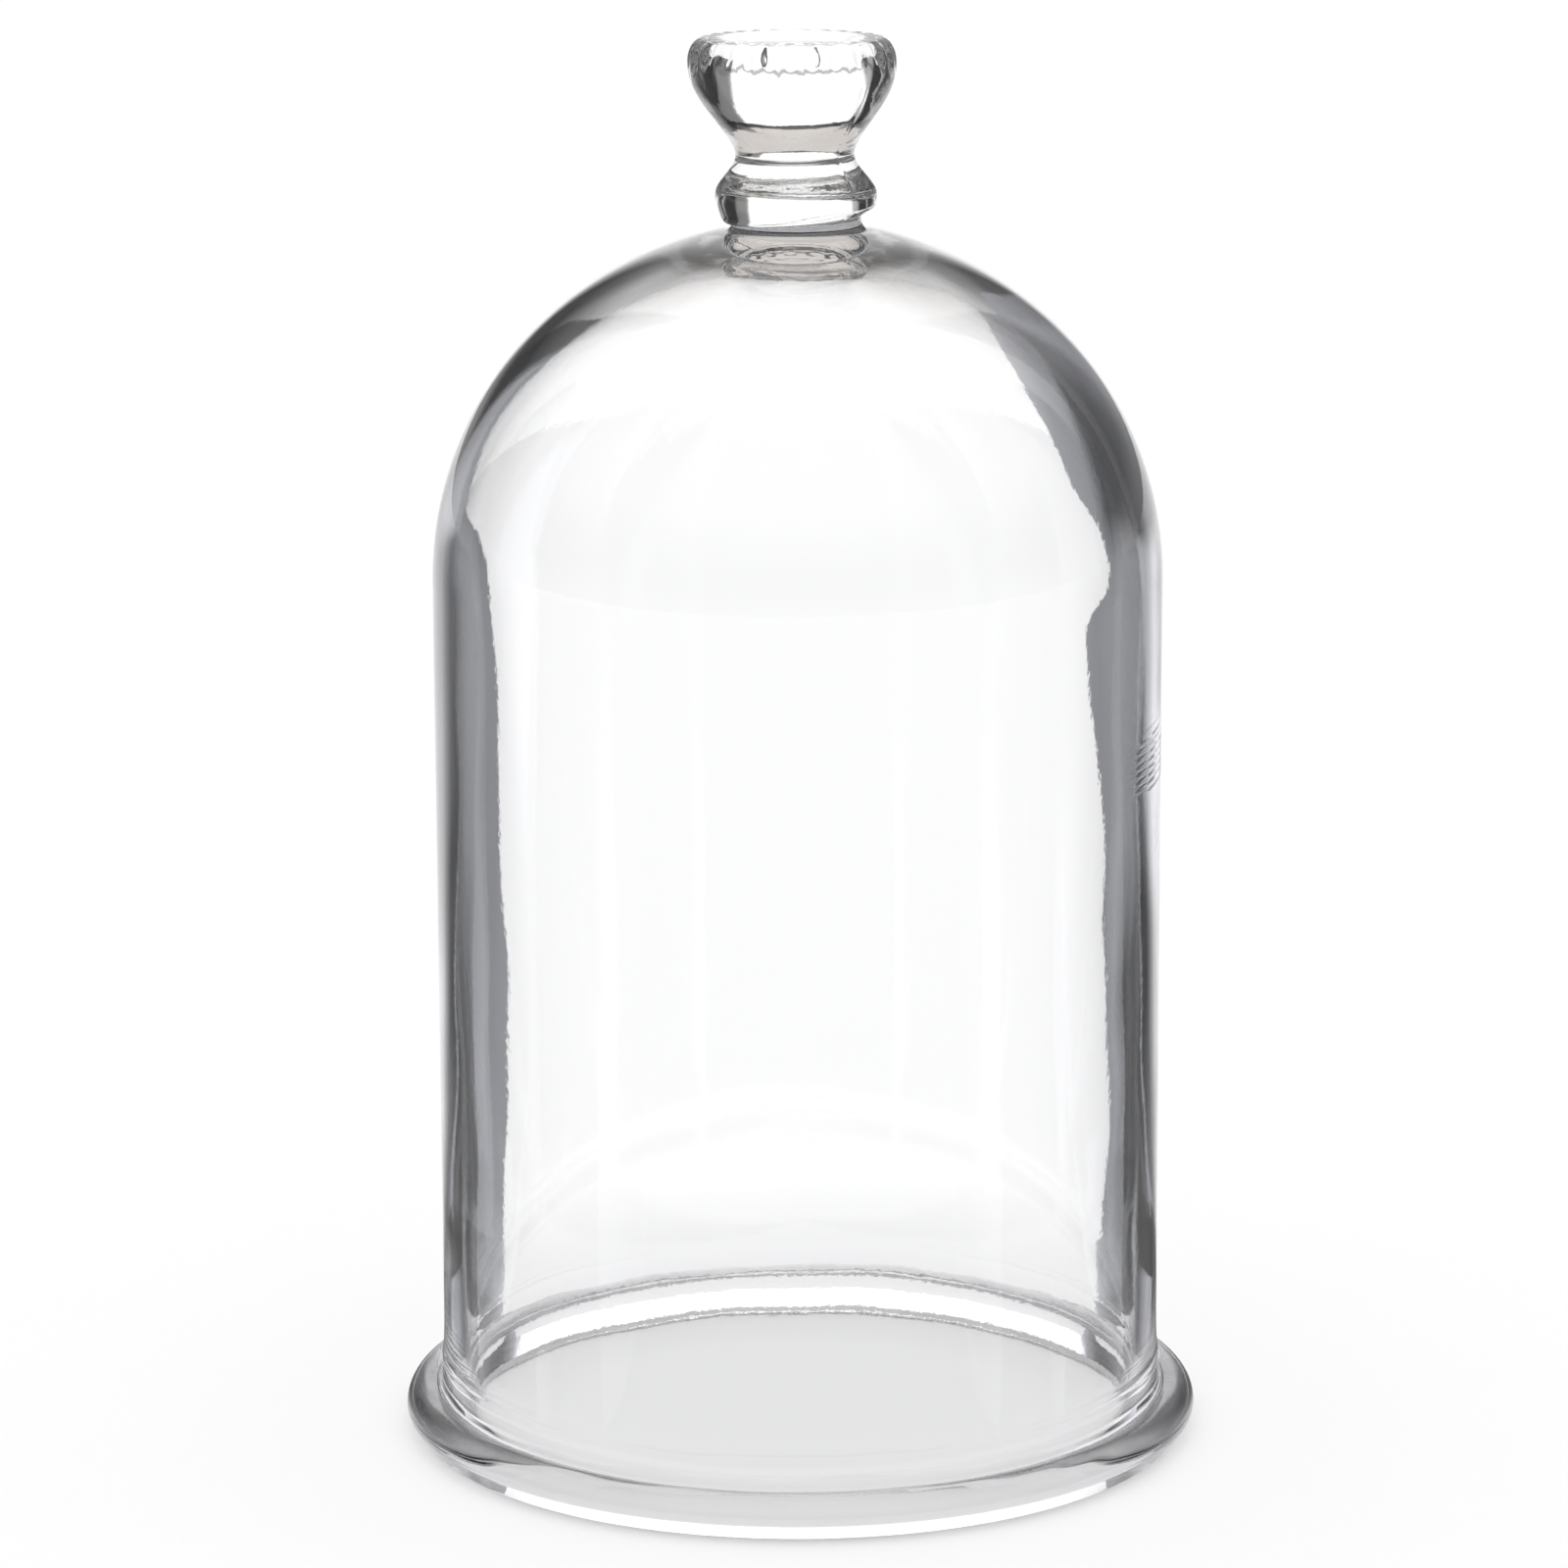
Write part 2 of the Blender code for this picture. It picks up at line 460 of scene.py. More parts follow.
def arc_run(centre, reach, rise, first, last, spacing):
    """Points of an ellipse about centre, between two angles in degrees from +X."""
    turn = math.radians(abs(last - first))
    count = max(3, math.ceil(max(reach, rise) * turn / spacing))
    angle = np.radians(np.linspace(first, last, count + 1))
    return np.stack([centre[0] + reach * np.cos(angle), centre[1] + rise * np.sin(angle)], axis=1)


def swell_run(low, high, flare, spacing):
    """Points of a smooth swelling from low, at the waist, to high; both ends are upright."""
    count = math.ceil(np.linalg.norm(np.subtract(high, low)) / spacing)
    step = np.linspace(0, 1, count + 1)
    rise = (1 - np.cos(np.pi * step**flare)) / 2
    return np.stack([low[0] + (high[0] - low[0]) * rise, low[1] + (high[1] - low[1]) * step], axis=1)


def knob_section(knob, collar):
    """From the middle of the flat top down to the bead's underside."""
    fine = KNOB_STEP
    top = KNOB_HIGH.z
    waist = (knob.waist_radius, knob.waist_height)
    widest = (knob.head_radius, knob.head_height)
    bead_edge = (knob.bead_radius, knob.bead_height)
    flat = line_run((0, top), (knob.top_radius, top), fine)
    shoulder = arc_run(
        (knob.top_radius, knob.head_height),
        knob.head_radius - knob.top_radius,
        top - knob.head_height,
        90,
        0,
        fine / 2,
    )
    head = swell_run(waist, widest, knob.head_flare, fine)[::-1]
    bead = swell_run(waist, bead_edge, 1.0, fine)
    under = arc_run(
        (collar.radius, knob.bead_height),
        knob.bead_radius - collar.radius,
        knob.bead_height - knob.bead_foot,
        0,
        -90,
        fine / 2,
    )
    return [flat, shoulder[1:], head[1:], bead[1:], under[1:]]


def dome_point(shell, radius):
    """Height of the dome's outer face at a radius."""
    rise = SHELL_HIGH.z - shell.spring_height
    return shell.spring_height + rise * math.sqrt(1 - (radius / shell.radius) ** 2)


def collar_section(knob, collar, shell):
    """Down the collar's side and through its fillet to the dome."""
    fine = COLLAR_STEP
    foot_radius = collar.radius + collar.foot_fillet
    foot = dome_point(shell, foot_radius)
    side_end = (collar.radius, foot + collar.foot_rise)
    side = line_run((collar.radius, knob.bead_foot), side_end, fine)
    fillet_centre = (foot_radius, side_end[1])
    fillet = arc_run(fillet_centre, collar.foot_fillet, collar.foot_rise, 180, COLLAR_FILLET_END, fine / 2)
    return [side, fillet[1:-1], np.array([[foot_radius, foot]])]


def outside_section(collar, shell):
    """Down the dome and the wall, as far as the flange."""
    start = math.acos((collar.radius + collar.foot_fillet) / shell.radius)
    spring = (0.0, shell.spring_height)
    rise = SHELL_HIGH.z - shell.spring_height
    dome = arc_run(spring, shell.radius, rise, math.degrees(start), 0, DOME_STEP)
    skirt = FLANGE_HIGH.z + SKIRT_RISE
    chill_high = shell.chill_height + shell.chill_rise
    upper = line_run((shell.radius, shell.spring_height), (shell.radius, chill_high), WALL_STEP)
    chill = line_run((shell.radius, chill_high), (shell.radius, shell.chill_height), CHILL_STEP)
    lower = line_run((shell.radius, shell.chill_height), (shell.radius, skirt), WALL_STEP)
    foot = line_run((shell.radius, skirt), (shell.radius, FLANGE_HIGH.z), SKIRT_STEP)
    wall = np.concatenate([upper, chill[1:], lower[1:], foot[1:]])
    wall[:, 0] += foot_flare(wall[:, 1])
    return [dome[1:], wall[1:]]


def foot_flare(height):
    """How far the wall swells out just above the flange."""
    return FLARE_REACH * np.exp(-(height - FLANGE_HIGH.z) / FLARE_RISE)


def flange_section(flange, shell):
    """Fillet, lip, heel, ground face and mouth, then up the bore to the flange's top."""
    fine = FLANGE_STEP
    top = FLANGE_HIGH.z
    bore = shell.radius - shell.thickness
    neck = shell.radius + foot_flare(top)
    lip = arc_run(
        (flange.lip_centre, flange.lip_height),
        flange.radius - flange.lip_centre,
        flange.lip_rise,
        math.degrees(flange.crease_angle),
        math.degrees(flange.heel_angle),
        fine,
    )
    crease = lip[0]
    fillet = arc_run((crease[0], top), crease[0] - neck, top - crease[1], 180, 270, fine)
    heel_round = flange.heel_round
    heel = line_run(lip[-1], (flange.ground_radius + heel_round, heel_round), fine)
    turn = arc_run((flange.ground_radius, heel_round), heel_round, heel_round, 0, -90, fine / 2)
    mouth_centre = (bore + flange.mouth_round, flange.mouth_round)
    ground = line_run((flange.ground_radius, 0.0), (mouth_centre[0], 0.0), GROUND_STEP)
    mouth = arc_run(mouth_centre, flange.mouth_round, flange.mouth_round, 270, 180, fine / 2)
    bore_run = line_run((bore, flange.mouth_round), (bore, top), GROUND_STEP)
    return [fillet[1:], lip[1:], heel[1:], turn[1:], ground[1:], mouth[1:], bore_run[1:]]


def inside_section(shell):
    """Up the inside of the wall and the dome to the swelling under the knob."""
    bore = shell.radius - shell.thickness
    rise = SHELL_HIGH.z - shell.spring_height - shell.crown_thickness
    wall = line_run((bore, FLANGE_HIGH.z), (bore, shell.spring_height), INNER_WALL_STEP)
    dome = arc_run((0.0, shell.spring_height), bore, rise, 0, 90, DOME_STEP)
    near = np.clip(dome[:, 0] / shell.button_radius, 0, 1)
    dome[:, 1] -= shell.button_drop * (1 + np.cos(np.pi * near)) / 2
    return [wall[1:], dome[1:]]


def waves(run, phi, recipe):
    """Slow waves over a surface: a sum of (turns round, waves per metre, phase, weight)."""
    total = np.zeros((len(run), len(phi)))
    for turns, pitch, phase, weight in recipe:
        total += weight * np.sin(turns * phi[None, :] + math.tau * pitch * run[:, None] + phase)
    return total


OUTER_WAVES = (
    (2, 2.0, 0.4, 1.0),
    (3, -5.0, 1.9, 0.6),
    (5, 9.0, 4.1, 0.35),
    (9, -14.0, 2.2, 0.18),
    (16, 23.0, 0.9, 0.07),
)
INNER_WAVES = (
    (2, -3.0, 2.4, 0.8),
    (3, 7.0, 0.3, 0.7),
    (6, -11.0, 5.0, 0.4),
    (11, 17.0, 3.3, 0.2),
    (19, -31.0, 1.2, 0.07),
)
SEAM_WANDER = (
    (5, 0.18 * MM, 0.4),
    (11, 0.12 * MM, 2.0),
    (17, 0.10 * MM, 4.2),
    (31, 0.06 * MM, 1.1),
)
SEAM_RIDGES = (
    (0.7 * MM, 1.0, SEAM_WANDER),
    (2.1 * MM, 0.5, SEAM_WANDER[::-1]),
)
FOLD_WAVES = (
    (7, 60.0, 0.0, 0.5),
    (13, -140.0, 1.3, 0.4),
    (23, 220.0, 2.9, 0.25),
)


def smooth_step(values, low, high):
    """0 below low, 1 above high, smooth between."""
    t = np.clip((values - low) / (high - low), 0, 1)
    return t * t * (3 - 2 * t)


def hump(values, middle, width):
    """A smooth hump of height 1 at its middle, about as wide as width to each side."""
    return np.exp(-(((values - middle) / width) ** 2))


@functools.lru_cache(maxsize=1)
def jar_skin():
    """The whole skin as points and normals, shape (rows, steps, 3), with the row span of each piece."""
    s = settings()
    parts = {
        "knob": knob_section(s.knob, s.collar),
        "collar": collar_section(s.knob, s.collar, s.shell),
        "outside": outside_section(s.collar, s.shell),
        "flange": flange_section(s.flange, s.shell),
        "inside": inside_section(s.shell),
    }
    rows, spans, start = [], {}, 0
    for name, runs in parts.items():
        rows.extend(runs)
        end = start + sum(len(run) for run in runs)
        spans[name] = (max(start - 1, 0), end)
        start = end
    section = np.concatenate(rows)
    points = shaped(section, spans, s)
    return points, skin_normals(points), spans


def section_normals(section):
    """Outward unit normals of the section; the glass lies to the right of its run."""
    along = np.gradient(section, axis=0)
    normal = np.stack([-along[:, 1], along[:, 0]], axis=1)
    return normal / np.linalg.norm(normal, axis=1)[:, None]


def wall_waves(radius, height, run, depth, recipe):
    """Slow waves of the wall and dome, which die out towards the crown and the foot."""
    open_wall = smooth_step(radius, *WAVES_PAST_CROWN) * smooth_step(height, *WAVES_ABOVE_FOOT)
    return depth * waves(run, PHI, recipe) * open_wall[:, None]


def chill_marks(height, shell):
    """A patch of fine ripples on the right of the wall, where the glass was chilled."""
    rise = height - shell.chill_height
    top = shell.chill_rise
    ends = smooth_step(rise, 0.0, CHILL_FADE) * (1 - smooth_step(rise, top - CHILL_FADE, top))
    turn = PHI - shell.chill_angle
    patch = smooth_step(turn, *CHILL_STARTS) * (1 - smooth_step(turn, *CHILL_STOPS))
    patch = patch * (0.65 + 0.35 * np.cos(CHILL_GROUPS * turn))
    ripple = np.sin(math.tau * (rise[:, None] - CHILL_CLIMB * turn[None, :]) / shell.chill_pitch)
    return shell.chill_depth * ripple * ends[:, None] * patch[None, :]


def flange_folds(radius, height, run, flange):
    """Shallow folds on top of the lip, where the flange was pressed."""
    shelf = hump(radius, flange.lip_centre, FOLD_WIDTH) * smooth_step(height, *FOLD_HEIGHTS)
    return flange.fold * waves(run, PHI, FOLD_WAVES) * shelf[:, None]


def seam_ridges(height, flange):
    """Two wandering ridges just above the flange, where the wall was joined on."""
    total = np.zeros((len(height), TURN_STEPS))
    for rise, weight, wander in SEAM_RIDGES:
        line = FLANGE_HIGH.z + rise
        for turns, reach, phase in wander:
            line = line + reach * np.sin(turns * PHI + phase)
        total += weight * hump(height[:, None], line[None, :], SEAM_WIDTH)
    return flange.seam_height * total


def tool_marks(radius, height, knob):
    """A ring of hollows round the knob's shoulder, left by the tool that shaped it."""
    ring = hump(height, KNOB_HIGH.z - MARK_DROP, MARK_WIDTH) * smooth_step(radius, *MARK_RADII)
    uneven = 0.7 * np.sin(3 * PHI + 1) + 0.5 * np.sin(5 * PHI)
    marks = (0.5 + 0.5 * np.cos(knob.dimples * PHI + uneven)) ** MARK_SHARPNESS
    return -knob.dimple_depth * ring[:, None] * marks[None, :]


def mould_seams(radius, height, knob):
    """The two upright ridges that the halves of the mould left on the knob."""
    side = smooth_step(radius, *MOULD_SEAM_RADII) * (height < KNOB_HIGH.z - MOULD_SEAM_TOP)
    total = np.zeros((len(radius), TURN_STEPS))
    for seam in (knob.seam_angle, knob.seam_angle + math.pi):
        across = radius[:, None] * np.sin(PHI[None, :] - seam)
        facing = np.cos(PHI[None, :] - seam) > 0
        total += hump(across, 0.0, MOULD_SEAM_WIDTH) * facing
    return knob.seam_height * total * side[:, None]


def shaped(section, spans, s):
    """Spins the section and adds what the glass maker's hand left: waves, folds, marks, lean and lap."""
    radius, height = section[:, 0], section[:, 1]
    run = np.concatenate([[0], np.cumsum(np.linalg.norm(np.diff(section, axis=0), axis=1))])
    index = np.arange(len(section))
    part = {name: (index >= low) & (index < high) for name, (low, high) in spans.items()}
    outside, inside, knob = part["outside"], part["inside"], part["knob"]
    lip = part["flange"] & (radius > s.shell.radius)
    seam_low, seam_high = SEAM_HEIGHTS
    joint = (outside | part["flange"]) & (radius > s.shell.radius - 1 * MM)
    joint = joint & (height > seam_low) & (height < seam_high)

    lift = np.zeros((len(section), TURN_STEPS))
    lift[outside] += wall_waves(radius, height, run, s.shell.outer_wave, OUTER_WAVES)[outside]
    lift[inside] += wall_waves(radius, height, run, s.shell.inner_wave, INNER_WAVES)[inside]
    lift[outside] += chill_marks(height, s.shell)[outside]
    lift[lip] += flange_folds(radius, height, run, s.flange)[lip]
    lift[joint] += seam_ridges(height, s.flange)[joint]
    lift[knob] += tool_marks(radius, height, s.knob)[knob]
    lift[knob] += mould_seams(radius, height, s.knob)[knob]

    normal = section_normals(section)
    r = radius[:, None] + normal[:, :1] * lift
    z = height[:, None] + normal[:, 1:] * lift
    x = r * np.sin(PHI)
    y = -r * np.cos(PHI)
    low = s.knob.bead_foot
    high = smooth_step(height, low, KNOB_HIGH.z)[:, None]
    x = x + s.knob.lean * high * (KNOB_HIGH.z - low) * knob[:, None]
    lap = hump(height, low + LAP_RISE, LAP_WIDTH) * (knob | part["collar"])
    z = z + s.knob.bead_tilt * lap[:, None] * x
    return np.stack([x, y, z], axis=2)


def skin_normals(points):
    """Unit normals of the skin, by differences along and round it."""
    along = np.gradient(points, axis=0)
    round_it = np.roll(points, -1, axis=1) - np.roll(points, 1, axis=1)
    normal = np.cross(along, round_it)
    size = np.linalg.norm(normal, axis=2)
    flat = size < 1e-12
    size[flat] = 1.0
    normal /= size[..., None]
    normal[0] = (0, 0, 1)
    normal[-1] = (0, 0, -1)
    return normal


def skin_piece(name, bands, material_rows, node):
    """One piece of the skin from bands of rows, with the whole skin's normals, in place of its CAD node."""
    points, normals, spans = jar_skin()
    last_row = len(points) - 1
    mesh = bpy.data.meshes.new(name)
    verts, vert_normals, faces, face_rows = [], [], [], []
    for band in bands:
        first, end = spans[band]
        start = len(verts)
        ring_start = {}
        for row in range(first, end):
            ring_start[row] = len(verts)
            steps = 1 if row in (0, last_row) else TURN_STEPS
            verts.extend(points[row, :steps].tolist())
            vert_normals.extend(normals[row, :steps].tolist())
        for row in range(first, end - 1):
            a, b = ring_start[row], ring_start[row + 1]
            for i in range(TURN_STEPS):
                j = (i + 1) % TURN_STEPS
                if row == 0:
                    faces.append((a, b + i, b + j))
                elif row + 1 == last_row:
                    faces.append((a + i, b, a + j))
                else:
                    faces.append((a + i, b + i, b + j, a + j))
                face_rows.append(row)
        if start == len(verts):
            raise RuntimeError(f"{name}: the band {band} is empty")
    mesh.from_pydata(verts, [], faces)
    for material, _ in material_rows:
        mesh.materials.append(material)
    indices = np.zeros(len(faces), dtype=np.int32)
    rows = np.array(face_rows)
    for slot_index, (_, test) in enumerate(material_rows):
        if test is not None:
            indices[test(points[rows], points[np.minimum(rows + 1, last_row)])] = slot_index
    mesh.polygons.foreach_set("material_index", indices)
    mesh.shade_smooth()
    mesh.normals_split_custom_set_from_vertices(vert_normals)
    mesh.update()
    piece = bpy.data.objects.new(name, mesh)
    bpy.context.scene.collection.objects.link(piece)
    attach(piece, "root")
    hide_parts(node)
    return piece


# Materials


def feed(links, value, socket):
    """Links an output to a socket, or sets a plain value there."""
    if isinstance(value, bpy.types.NodeSocket):
        links.new(value, socket)
    else:
        socket.default_value = value


def math_of(nodes, links, operation, *values):
    """The result of a Math node on outputs or plain numbers."""
    node = nodes.new("ShaderNodeMath")
    node.operation = operation
    for value, socket in zip(values, node.inputs):
        feed(links, value, socket)
    return node.outputs["Value"]


def mixed(nodes, links, factor, first, second, kind="RGBA", blend="MIX"):
    """first going over to second, or with MULTIPLY to first times second, by factor."""
    mix = nodes.new("ShaderNodeMix")
    mix.data_type = kind
    mix.blend_type = blend
    feed(links, factor, mix.inputs["Factor"])
    feed(links, first, mix.inputs["A"])
    feed(links, second, mix.inputs["B"])
    return mix.outputs["Result"]


def share_of(nodes, links, value, low, high):
    """Where a value lies between low, 0, and high, 1."""
    scale = nodes.new("ShaderNodeMapRange")
    scale.inputs["From Min"].default_value = low
    scale.inputs["From Max"].default_value = high
    links.new(value, scale.inputs["Value"])
    return scale.outputs["Result"]


def ramp_of(nodes, links, stops, place):
    """The colour at a place among (position, colour) stops from 0 to 1; a single number is a grey."""
    ramp = nodes.new("ShaderNodeValToRGB")
    for _ in stops[2:]:
        ramp.color_ramp.elements.new(0.5)
    for element, (position, colour) in zip(ramp.color_ramp.elements, stops):
        element.position = position
        element.color = (*np.broadcast_to(colour, 3), 1.0)
    links.new(place, ramp.inputs["Fac"])
    return ramp.outputs["Color"]


def by_reach(stops, end):
    """Stops by distance from the axis, as stops from 0 to 1."""
    return [(reach / end, tone) for reach, tone in stops]


def by_angle(stops):
    """Stops by degrees above the horizon, as stops from straight down, 0, to straight up, 1."""
    return [(0.5 + 0.5 * math.sin(math.radians(angle)), tone) for angle, tone in stops]


def by_turn(stops):
    """Stops by degrees from +Y, -180 to 180, as stops from 0 to 1."""
    return [(0.5 + turn / 360, tone) for turn, tone in stops]


def reach_of(nodes, links, place):
    """The distance from the jar's upright axis, at a shading point."""
    flat = nodes.new("ShaderNodeVectorMath")
    flat.operation = "MULTIPLY"
    flat.inputs[1].default_value = (1.0, 1.0, 0.0)
    reach = nodes.new("ShaderNodeVectorMath")
    reach.operation = "LENGTH"
    links.new(place.outputs["Object"], flat.inputs[0])
    links.new(flat.outputs["Vector"], reach.inputs[0])
    return reach.outputs["Value"]


def bounced_inside(nodes, links, path):
    """1 for light that has bounced about inside the glass, 0 for light straight through it."""
    bounced = math_of(nodes, links, "GREATER_THAN", path.outputs["Glossy Depth"], 0.5)
    entered = math_of(nodes, links, "GREATER_THAN", path.outputs["Transmission Depth"], 1.5)
    return math_of(nodes, links, "MULTIPLY", bounced, entered)


def through_solid(nodes, links, path):
    """1 for light that went in and out of the glass once, as in the knob and the flange."""
    return math_of(nodes, links, "LESS_THAN", path.outputs["Transmission Depth"], 2.5)


def bare_material(name):
    """A new material without nodes, and its node and link lists."""
    material = bpy.data.materials.new(name)
    material.use_nodes = True
    material.node_tree.nodes.clear()
    return material, material.node_tree.nodes, material.node_tree.links


def glass(name, colour, roughness, peel_scale, peel_depth, mottle=0.0):
    """Clear glass with a faint tint and the fine peel of its surface; a ground face is mottled too."""
    material = bpy.data.materials.new(name)
    material.use_nodes = True
    nodes, links = material.node_tree.nodes, material.node_tree.links
    shader = nodes["Principled BSDF"]
    shader.inputs["Base Color"].default_value = (*colour, 1.0)
    shader.inputs["Roughness"].default_value = roughness
    shader.inputs["IOR"].default_value = GLASS_IOR
    shader.inputs["Transmission Weight"].default_value = 1.0
    place = nodes.new("ShaderNodeTexCoord")
    peel = nodes.new("ShaderNodeTexNoise")
    peel.inputs["Scale"].default_value = peel_scale
    peel.inputs["Detail"].default_value = 3.0
    bump = nodes.new("ShaderNodeBump")
    bump.inputs["Strength"].default_value = 1.0
    bump.inputs["Distance"].default_value = peel_depth
    links.new(place.outputs["Object"], peel.inputs["Vector"])
    links.new(peel.outputs["Fac"], bump.inputs["Height"])
    links.new(bump.outputs["Normal"], shader.inputs["Normal"])
    if mottle:
        grain = nodes.new("ShaderNodeTexNoise")
        grain.inputs["Scale"].default_value = peel_scale / PEELS_PER_GRAIN
        grain.inputs["Detail"].default_value = 8.0
        grain.inputs["Roughness"].default_value = 0.7
        links.new(place.outputs["Object"], grain.inputs["Vector"])
        stops = ((GRAIN_WORN, np.multiply(colour, 1 - mottle)), (GRAIN_SOUND, colour))
        worn = ramp_of(nodes, links, stops, grain.outputs["Fac"])
        links.new(worn, shader.inputs["Base Color"])
    return material


def floor_finish(colour):
    """Matt pale paper, with painted shadow, light and shade where it is seen through the glass or mirrored in
    it.
    """
    material, nodes, links = bare_material("pale_floor")
    path = nodes.new("ShaderNodeLightPath")
    place = nodes.new("ShaderNodeTexCoord")
    along = share_of(nodes, links, reach_of(nodes, links, place), 0.0, FLOOR_END)
    # Painted shadow and painted light on the floor for rays through the glass, by distance from the axis
    straight = ramp_of(nodes, links, by_reach(FLOOR_PAINTED_SHADOW_AND_LIGHT, FLOOR_END), along)
    bounced = ramp_of(nodes, links, by_reach(FLOOR_BOUNCED_PAINTED_SHADE_AND_LIGHT, FLOOR_END), along)
    split = nodes.new("ShaderNodeSeparateXYZ")
    links.new(place.outputs["Object"], split.inputs["Vector"])
    turn = math_of(nodes, links, "ARCTAN2", split.outputs["X"], split.outputs["Y"])
    off_axis = math_of(nodes, links, "ABSOLUTE", turn)
    half_turn = math_of(nodes, links, "DIVIDE", off_axis, math.pi)
    # Painted shade in sectors, for the floor as the glass mirrors it
    mirror = ramp_of(nodes, links, [(angle / 180, grey) for angle, grey in MIRRORED_PAINTED_SHADE_BY_TURN], half_turn)
    tone = mixed(nodes, links, bounced_inside(nodes, links, path), straight, bounced)
    through = path.outputs["Is Transmission Ray"]
    shade = mixed(nodes, links, through, (*colour, 1.0), tone, blend="MULTIPLY")
    in_glass = path.outputs["Is Reflection Ray"]
    mirrored = mixed(nodes, links, in_glass, shade, mirror, blend="MULTIPLY")
    matt = nodes.new("ShaderNodeBsdfDiffuse")
    out = nodes.new("ShaderNodeOutputMaterial")
    links.new(mirrored, matt.inputs["Color"])
    links.new(matt.outputs["BSDF"], out.inputs["Surface"])
    return material


def card_finish(side, card_end, slant_limit):
    """A card's painted shade and light by distance and height; clear when seen edge on or after light met the
    floor.
    """
    material, nodes, links = bare_material(f"grey_card_{side}")
    path = nodes.new("ShaderNodeLightPath")
    place = nodes.new("ShaderNodeTexCoord")
    split = nodes.new("ShaderNodeSeparateXYZ")
    links.new(place.outputs["Object"], split.inputs["Vector"])
    along = share_of(nodes, links, reach_of(nodes, links, place), 0.0, card_end)
    climbs = [share_of(nodes, links, split.outputs["Z"], low, high) for low, high in CARD_LEVELS]
    tones = []
    for levels in (CARD_STRAIGHT[side], CARD_RIM[side]):
        rows = [ramp_of(nodes, links, by_reach(stops, card_end), along) for stops in levels]
        tone = rows[0]
        for climb, row in zip(climbs, rows[1:]):
            tone = mixed(nodes, links, climb, tone, row)
        tones.append(tone)
    straight, rim = tones
    flange = ramp_of(nodes, links, by_reach(CARD_THROUGH_FLANGE, card_end), along)
    lower = mixed(nodes, links, through_solid(nodes, links, path), straight, flange)
    straight = mixed(nodes, links, climbs[1], lower, straight)
    tone = mixed(nodes, links, bounced_inside(nodes, links, path), straight, rim)
    # The cool tint goes onto the painted shade and light that the glass sees on the card
    cool = mixed(nodes, links, 1.0, tone, (*CARD_TINT, 1.0), blend="MULTIPLY")
    slant = nodes.new("ShaderNodeLayerWeight")
    edge_on = math_of(nodes, links, "GREATER_THAN", slant.outputs["Facing"], slant_limit)
    unseen = math_of(nodes, links, "MAXIMUM", edge_on, path.outputs["Diffuse Depth"])
    unseen.node.use_clamp = True
    clear = nodes.new("ShaderNodeBsdfTransparent")
    lit = nodes.new("ShaderNodeEmission")
    mix = nodes.new("ShaderNodeMixShader")
    out = nodes.new("ShaderNodeOutputMaterial")
    links.new(cool, lit.inputs["Color"])
    links.new(unseen, mix.inputs["Fac"])
    links.new(lit.outputs["Emission"], mix.inputs[1])
    links.new(clear.outputs["BSDF"], mix.inputs[2])
    links.new(mix.outputs["Shader"], out.inputs["Surface"])
    return material


def studio_world(sky):
    """White for the camera and plain light for the floor; the glass sees the sky tones above."""
    world = bpy.data.worlds.new("studio")
    bpy.context.scene.world = world
    world.cycles.sampling_method = "NONE"
    world.use_nodes = True
    nodes, links = world.node_tree.nodes, world.node_tree.links
    nodes.clear()
    path = nodes.new("ShaderNodeLightPath")
    place = nodes.new("ShaderNodeTexCoord")
    split = nodes.new("ShaderNodeSeparateXYZ")
    links.new(place.outputs["Generated"], split.inputs["Vector"])
    climb = math_of(nodes, links, "MULTIPLY_ADD", split.outputs["Z"], 0.5, 0.5)
    turn = math_of(nodes, links, "ARCTAN2", split.outputs["X"], split.outputs["Y"])
    full_turn = math_of(nodes, links, "MULTIPLY_ADD", turn, 1 / math.tau, 0.5)

    open_sky = mixed(nodes, links, path.outputs["Is Transmission Ray"], sky, sky * UNDER_GLASS, kind="FLOAT")
    level = mixed(nodes, links, path.outputs["Is Camera Ray"], open_sky, 1.0, kind="FLOAT")
    plain = nodes.new("ShaderNodeBackground")
    plain.inputs["Color"].default_value = (1.0, 1.0, 1.0, 1.0)
    links.new(level, plain.inputs["Strength"])

    shell_sky = ramp_of(nodes, links, by_angle(SKY_THROUGH_SHELL), climb)
    solid_sky = ramp_of(nodes, links, by_angle(SKY_THROUGH_SOLID), climb)
    bounced_sky = ramp_of(nodes, links, by_angle(SKY_BOUNCED), climb)
    sector = ramp_of(nodes, links, by_turn(SECTOR_BY_TURN), full_turn)
    ahead = ramp_of(nodes, links, by_turn(AHEAD_BY_TURN), full_turn)
    past_flags = mixed(nodes, links, 1.0, solid_sky, sector, blend="MULTIPLY")
    straight = mixed(nodes, links, through_solid(nodes, links, path), shell_sky, past_flags)
    inside = mixed(nodes, links, bounced_inside(nodes, links, path), straight, bounced_sky)
    mirrored = mixed(nodes, links, ahead, bounced_sky, shell_sky)
    through = nodes.new("ShaderNodeBackground")
    tone = mixed(nodes, links, path.outputs["Is Reflection Ray"], inside, mirrored)
    links.new(tone, through.inputs["Color"])

    outputs = path.outputs
    seen = math_of(nodes, links, "ADD", outputs["Is Transmission Ray"], outputs["Is Glossy Ray"])
    early = math_of(nodes, links, "LESS_THAN", outputs["Diffuse Depth"], 0.5)
    by_glass = math_of(nodes, links, "MULTIPLY", seen, early)
    by_glass.node.use_clamp = True
    mix = nodes.new("ShaderNodeMixShader")
    out = nodes.new("ShaderNodeOutputWorld")
    links.new(by_glass, mix.inputs["Fac"])
    links.new(plain.outputs["Background"], mix.inputs[1])
    links.new(through.outputs["Background"], mix.inputs[2])
    links.new(mix.outputs["Shader"], out.inputs["Surface"])
    return world


